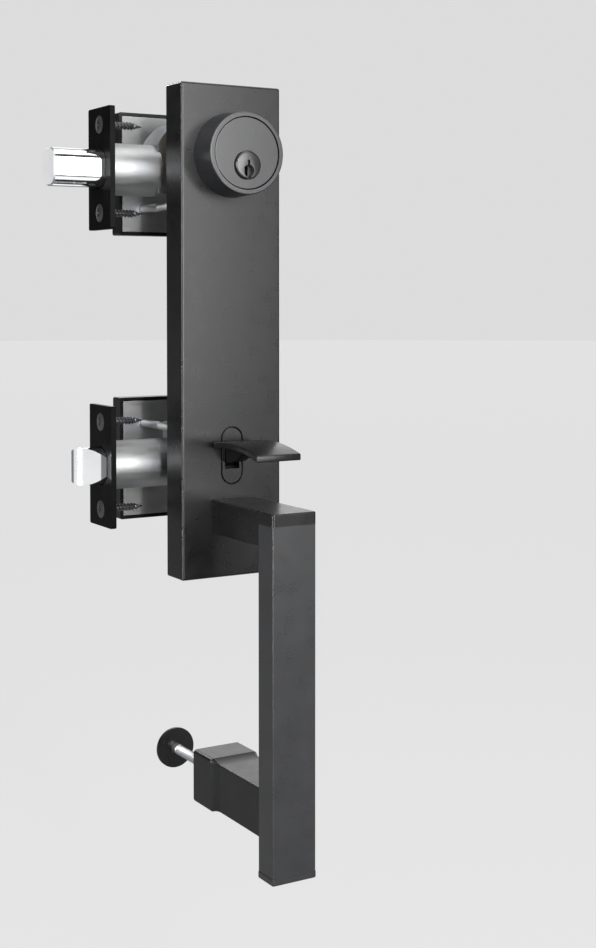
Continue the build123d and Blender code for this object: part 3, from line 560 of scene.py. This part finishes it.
def thread(name, low, high, spec, crest):
    # One groove of the thread, wound and then cut square at both ends
    start, pitch = low - 2 * spec["pitch"], spec["pitch"]
    radii = {"root": spec["root"], "crest": crest}
    piece = startLine(name, [mm(start + share * pitch, 0, radii[level]) for share, level in threadForm])
    wound(piece, mm(start, 0, 0), pitch, int((high - low) / pitch) + 4, threadSteps)
    for place, outwards in ((low, -1), (high, 1)):
        allSelected()
        bpy.ops.mesh.bisect(
            plane_co=mm(place, 0, 0), plane_no=(outwards, 0, 0), use_fill=True, clear_outer=True, threshold=0.000001
        )
    return closeUp(piece)


def taper(piece, place, length, share, steps=8):
    # Draws the last stretch of a thread to a point, in steps
    only(piece)
    mode("EDIT")
    for step in range(steps):
        begin = (place + length * step / steps) / 1000
        pick(piece, "verts", lambda middle, part: middle.x > begin)
        before, after = 1 - (1 - share) * step / steps, 1 - (1 - share) * (step + 1) / steps
        factor = after / before
        bpy.ops.transform.resize(value=(1, factor, factor), center_override=(0, 0, 0))
    mode("OBJECT")


def turned(name, profile, steps=64):
    # A profile of places along X and radii, spun round X
    piece = startLine(name, [mm(x, 0, radius) for x, radius in profile])
    allSelected()
    bpy.ops.mesh.spin(steps=steps, angle=radians(360), center=(0, 0, 0), axis=(1, 0, 0))
    return closeUp(piece)


def turnRound(axis, degrees):
    bpy.ops.transform.rotate(
        value=radians(degrees), orient_axis=axis, orient_type="GLOBAL", center_override=(0, 0, 0)
    )


def layAlongY(piece):
    # From X to Y, with most of the piece in the door
    only(piece)
    mode("EDIT")
    allSelected()
    turnRound("Z", 90)
    middle = sum((vertex.co.y for vertex in bmesh.from_edit_mesh(piece.data).verts), 0.0)
    if middle < 0:
        turnRound("Z", 180)
    mode("OBJECT")


def crossTool(top, depth):
    # Two wings that narrow towards the bottom, as a cross driver's tip does
    wings = []
    for turn in (0, 90):
        bpy.ops.object.select_all(action="DESELECT")
        bpy.ops.mesh.primitive_cube_add(size=1, location=mm(top + depth / 2 - 0.5, 0, 0))
        wing = bpy.context.object
        wing.name = f"crossWing{turn}"
        mode("EDIT")
        allSelected()
        bpy.ops.transform.resize(value=mm(depth + 1, crossRecess["thick"], crossRecess["wide"]))
        pick(wing, "faces", lambda middle, face: face.normal.x > 0.9)
        bpy.ops.transform.resize(value=crossRecess["narrowing"])
        allSelected()
        turnRound("X", turn)
        mode("OBJECT")
        wings.append(wing)
    return cut(wings[0], wings[1], "UNION")


# Faceplate screws: a domed countersunk head and a pointed coarse thread. Places along X are from the faceplate's
# outer face, apart from the tip.
edgeScrew = {
    "face": -50.0,
    "dome": 0.6,
    "domeRadii": (0.0, 0.9, 1.8, 2.7, 3.5, 4.0),
    "headRadius": 4.25,
    "rim": [(-0.02, -0.02), (0.15, -0.05)],
    "cone": 2.2,
    "shank": (3.6, 0.95, 3.9),
    "threadStart": 3.2,
    "crest": 1.9,
    "root": 1.35,
    "pitch": 1.7,
    "tip": -28.0,
    "point": (5.0, 0.12),
    "recess": 1.9,
    "middle": 22.25,
    "heights": {"deadbolt": (119.05, 160.35), "latch": (-20.65, 20.65)},
}


def makeEdgeScrews():
    spec = edgeScrew
    face, head, crest = spec["face"], spec["headRadius"], spec["crest"]
    crown = face - spec["dome"]
    dome = [(crown + spec["dome"] * (radius / head) ** 2, radius) for radius in spec["domeRadii"]]
    rim = [(face + along, head + outwards) for along, outwards in spec["rim"]]
    shank, narrowing, end = spec["shank"]
    under = [(face + spec["cone"], crest), (face + shank, crest * narrowing), (face + end, 0)]
    screw = cut(turned("screwHead", dome + rim + under), crossTool(crown, spec["recess"]))
    worm = thread("screwThread", face + spec["threadStart"], spec["tip"], spec, crest)
    length, share = spec["point"]
    taper(worm, spec["tip"] - length, length, share)
    screw = cut(screw, worm, "UNION")
    for axis, heights in spec["heights"].items():
        for index, height in enumerate(heights):
            piece = copyTo(screw, f"{axis}EdgeScrew{index}", mm(0, spec["middle"], height))
            finished(piece, oxideBlack, "trim", "black_screw", axis + "_edge_screws")
    bpy.data.objects.remove(screw, do_unlink=True)


# Clamp screws of the room side: pan heads and a fine thread. The crown is the drop from the head's top and the share
# of its radius, the neck is from the thread's end.
clampScrew = {
    "crest": 2.0,
    "root": 1.62,
    "threadInset": 0.02,
    "pitch": 0.8,
    "tip": -9.0,
    "threadEnd": 26.0,
    "neck": (1.0, 0.3, -1.0),
    "seat": 47.0,
    "headRadius": 3.8,
    "head": 2.4,
    "crown": [(0, 0), (0, 0.55), (0.25, 0.8), (0.8, 0.96), (1.3, 1)],
    "recess": 1.5,
    "places": {"deadbolt": ((-17.0, 122.7), (17.0, 122.7)), "latch": ((-17.0, 17.0), (17.0, -17.0))},
}


def makeClampScrews():
    spec = clampScrew
    seat, top, radius = spec["seat"], spec["seat"] + spec["head"], spec["headRadius"]
    crown = [(top - drop, radius * share) for drop, share in spec["crown"]]
    shank, runOut, inside = (spec["threadEnd"] + place for place in spec["neck"])
    under = [(seat, radius), (seat, spec["crest"]), (shank, spec["crest"])]
    neck = [(runOut, spec["root"]), (inside, spec["root"]), (inside, 0)]
    screw = turned("panHead", crown + under + neck)
    tool = crossTool(-top, spec["recess"])
    only(tool)
    turnRound("Z", 180)
    atHome()
    screw = cut(screw, tool)
    worm = thread("machineThread", spec["tip"], spec["threadEnd"], spec, spec["crest"] - spec["threadInset"])
    screw = cut(screw, worm, "UNION")
    layAlongY(screw)
    for axis, places in spec["places"].items():
        for index, (x, z) in enumerate(places):
            piece = copyTo(screw, f"{axis}ClampScrew{index}", mm(x, 0, z))
            finished(piece, zinc, "trim", "zinc_steel", axis + "_screws")
    bpy.data.objects.remove(screw, do_unlink=True)


# Foot bolt, through the door into the lower arm's foot. The socket is its depth and its radii. Neck and thread's end
# are from the seat.
footBolt = {
    "crest": 2.5,
    "root": 2.0,
    "threadInset": 0.02,
    "pitch": 0.9,
    "tip": -12.0,
    "threadEnd": -7,
    "neck": (-6, -6.6, -8),
    "seat": 46.5,
    "headRadius": 5.5,
    "head": 3.0,
    "socket": (1.6, 2.1, 2.5),
    "crown": [(0, 0.8), (0.3, 0.94), (0.9, 1)],
    "height": -147.9,
}


def makeFootBolt():
    spec = footBolt
    seat, top, radius = spec["seat"], spec["seat"] + spec["head"], spec["headRadius"]
    depth, low, high = spec["socket"]
    socket = [(top - depth, 0), (top - depth, low), (top, high)]
    crown = [(top - drop, radius * share) for drop, share in spec["crown"]]
    shank, runOut, inside = (seat + place for place in spec["neck"])
    under = [(seat, radius), (seat, spec["crest"]), (shank, spec["crest"])]
    neck = [(runOut, spec["root"]), (inside, spec["root"]), (inside, 0)]
    bolt = turned("footBoltHead", socket + crown + under + neck)
    worm = thread("footBoltThread", spec["tip"], seat + spec["threadEnd"], spec, spec["crest"] - spec["threadInset"])
    bolt = cut(bolt, worm, "UNION")
    layAlongY(bolt)
    twin = copyTo(bolt, "footBolt", mm(0, 0, spec["height"]))
    bpy.data.objects.remove(bolt, do_unlink=True)
    finished(twin, zinc, "trim", "zinc_steel", "lower_bolt")


# Latch spring: a coil that shortens towards its fixed end as the latch is drawn back
latchSpring = {
    "moving": -40.0,
    "fixed": -14.0,
    "travel": 12.7,
    "middle": 22.25,
    "radius": 3.6,
    "wire": 0.45,
    "wireSides": 12,
    "turns": 9,
    "steps": 32,
}


def makeLatchSpring():
    spec = latchSpring
    wire, low = spec["wire"], spec["moving"] + spec["wire"]
    length = spec["fixed"] - spec["moving"]
    ring = arc((low, spec["radius"]), wire, 0, 360, spec["wireSides"])
    piece = startLine("latchSpringCoil", [mm(x, spec["middle"], z) for x, z in ring])
    allSelected()
    bpy.ops.mesh.remove_doubles(threshold=0.00001)
    wound(piece, mm(low, spec["middle"], 0), (length - 2 * wire) / spec["turns"], spec["turns"], spec["steps"])
    bpy.ops.mesh.fill_holes(sides=0)
    closeUp(piece)
    finished(piece, springWire, "trim", "spring_steel", "latch_spring")
    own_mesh(piece)


makeThumbpiece()
print("thumbpiece made")
makeLatchSpring()
print("latch spring made")
makeKeyPlug()
print("key plug made")
makeEdgeScrews()
print("edge screws made")
makeClampScrews()
makeFootBolt()
print("clamp screws and foot bolt made")


# Studio: a pale floor, a key softbox in front, soft lights above and behind, and a surround that is bright
# in front on the left and behind on the right
studio = {
    "floorHeight": -0.32,
    "floorSize": 12.0,
    "paper": 0.72,
    "floorShade": 0.08,
    "floorRoughness": 0.9,
    "floorGlow": 0.90,
    "floorBounce": 0.17,
    "dimmest": 0.045,
    "frontLeft": ((-0.80, -0.60, 0.15), 42, 74, 0.85),
    "backRight": ((0.60, 0.78, 0.10), 20, 50, 1.25),
    "overhead": ((0.0, 0.1, 1.0), 25, 65, 0.45),
}


def paleFloor():
    bpy.ops.object.select_all(action="DESELECT")
    place = (0, 0, studio["floorHeight"])
    bpy.ops.mesh.primitive_circle_add(vertices=96, radius=studio["floorSize"], fill_type="NGON", location=place)
    floor = bpy.context.object
    floor.name = "studioFloor"
    atHome()
    finish, tree, shader = newFinish("paleFloor")
    shader.inputs["Base Color"].default_value = (studio["floorShade"], studio["floorShade"], studio["floorShade"], 1)
    shader.inputs["Roughness"].default_value = studio["floorRoughness"]
    shader.inputs["Emission Color"].default_value = (studio["paper"], studio["paper"], studio["paper"], 1)
    path = addNode(tree, "ShaderNodeLightPath", (-700, -200))
    glow = addNode(tree, "ShaderNodeMapRange", (-400, -200))
    glow.inputs["To Min"].default_value = studio["floorBounce"]
    glow.inputs["To Max"].default_value = studio["floorGlow"]
    tree.links.new(path.outputs["Is Camera Ray"], glow.inputs["Value"])
    tree.links.new(glow.outputs["Result"], shader.inputs["Emission Strength"])
    floor.data.materials.append(finish)


def glowFrom(tree, ray, name, at):
    # A round soft patch of light on the surround: full inside one angle, gone outside the other
    towards, inner, outer, strength = studio[name]
    facing = addNode(tree, "ShaderNodeVectorMath", at, operation="DOT_PRODUCT")
    facing.inputs[1].default_value = Vector(towards).normalized()
    patch = addNode(tree, "ShaderNodeMapRange", (at[0] + 200, at[1]), interpolation_type="SMOOTHSTEP")
    patch.inputs["From Min"].default_value = cos(radians(outer))
    patch.inputs["From Max"].default_value = cos(radians(inner))
    patch.inputs["To Max"].default_value = strength
    tree.links.new(ray.outputs["Generated"], facing.inputs[0])
    tree.links.new(facing.outputs["Value"], patch.inputs["Value"])
    return patch.outputs["Result"]


def surround():
    world = bpy.data.worlds.new("studioSurround")
    bpy.context.scene.world = world
    world.use_nodes = True
    tree = world.node_tree
    back = tree.nodes["Background"]
    ray = addNode(tree, "ShaderNodeTexCoord", (-1000, 0))
    total = None
    for index, name in enumerate(("frontLeft", "backRight", "overhead")):
        patch = glowFrom(tree, ray, name, (-800, -200 * index))
        add = addNode(tree, "ShaderNodeMath", (-300 + 100 * index, -200 * index), operation="ADD")
        add.inputs[1].default_value = studio["dimmest"]
        if total is not None:
            tree.links.new(total, add.inputs[1])
        tree.links.new(patch, add.inputs[0])
        total = add.outputs[0]
    tree.links.new(total, back.inputs["Strength"])
    paper = (studio["paper"], studio["paper"], studio["paper"], 1)
    seen = addNode(tree, "ShaderNodeBackground", (0, -200), Color=paper, Strength=1.0)
    path = addNode(tree, "ShaderNodeLightPath", (-200, 200))
    mix = addNode(tree, "ShaderNodeMixShader", (200, 0))
    back.inputs["Color"].default_value = (1, 1, 1, 1)
    tree.links.new(path.outputs["Is Camera Ray"], mix.inputs[0])
    tree.links.new(back.outputs[0], mix.inputs[1])
    tree.links.new(seen.outputs[0], mix.inputs[2])
    tree.links.new(mix.outputs[0], tree.nodes["World Output"].inputs["Surface"])


armEdges = ("upper_arm", "lower_arm", "grip_tube", "exterior_plate", "thumbpieceBody")
bolts = ("deadbolt", "latch_bolt")
lamps = {
    "keySoftbox": {"place": (0.10, -1.24, 0.27), "target": (0, 0, 0.05), "size": (1.0, 0.84), "power": 19},
    "topSoftbox": {"place": (0.1, -0.25, 1.1), "target": (0, 0, 0), "size": (0.9, 0.9), "power": 6},
    "edgeStrip": {"place": (-1.2, -0.05, 0.1), "target": (0, 0, 0.05), "size": (0.08, 1.2), "power": 15},
    "frontStrip": {"place": (-0.22, -1.18, 0.1), "target": (0, 0, 0.05), "size": (0.06, 1.2), "power": 8},
    "rimCard": {
        "place": (-0.15, 1.2, 0.75), "target": (0, 0, 0), "size": (0.35, 0.12), "power": 3, "only": armEdges
    },
    "boltCardBack": {
        "place": (-0.50, 1.1, 0.0), "target": (-0.07, 0.02, 0.07), "size": (1.1, 1.0), "power": 2.6, "only": bolts
    },
    "boltCardBelow": {
        "place": (0.22, 0.05, -0.27), "target": (0.22, 0.05, 0.1), "size": (0.9, 1.5), "power": 3.9, "only": bolts
    },
    "boltCardLeft": {
        "place": (-1.10, -0.36, 0.05), "target": (-0.07, 0.02, 0.07), "size": (1.4, 0.9), "power": 2.7, "only": bolts
    },
}


def softLight(name, place, target, size, power):
    data = bpy.data.lights.new(name, "AREA")
    data.shape = "RECTANGLE"
    data.size, data.size_y = size
    data.energy = power
    lamp = bpy.data.objects.new(name, data)
    bpy.context.scene.collection.objects.link(lamp)
    lamp.location = place
    lamp.rotation_euler = (Vector(target) - Vector(place)).to_track_quat("-Z", "Y").to_euler()
    lamp.visible_camera = False
    return lamp


def onlyFor(lamp, pieces):
    # Light linking: this lamp lights these pieces alone
    group = bpy.data.collections.new(lamp.name + "Pieces")
    for piece in pieces:
        group.objects.link(piece)
    lamp.light_linking.receiver_collection = group


def aim(camera, yaw, pitch):
    ahead = Vector((sin(yaw) * cos(pitch), cos(yaw) * cos(pitch), -sin(pitch)))
    camera.rotation_euler = ahead.to_track_quat("-Z", "Y").to_euler()


view = {"lens": 57.62, "yaw": 30.774, "pitch": 1.859, "place": (-0.3353, -0.6391, 0.0819), "shift": -0.14}


def photoCamera():
    data = bpy.data.cameras.new("photoCamera")
    data.lens = view["lens"]
    data.sensor_width = 36
    data.shift_y = view["shift"]
    data.clip_start = 0.01
    camera = bpy.data.objects.new("photoCamera", data)
    bpy.context.scene.collection.objects.link(camera)
    camera.location = view["place"]
    aim(camera, radians(view["yaw"]), radians(view["pitch"]))
    bpy.context.scene.camera = camera


paleFloor()
surround()
for name, spec in lamps.items():
    lamp = softLight(name, spec["place"], spec["target"], spec["size"], spec["power"])
    if "only" in spec:
        onlyFor(lamp, [frame["nodes"].get(piece) or bpy.data.objects[piece] for piece in spec["only"]])
photoCamera()
bpy.context.scene.view_settings.view_transform = "Standard"
print("studio set")
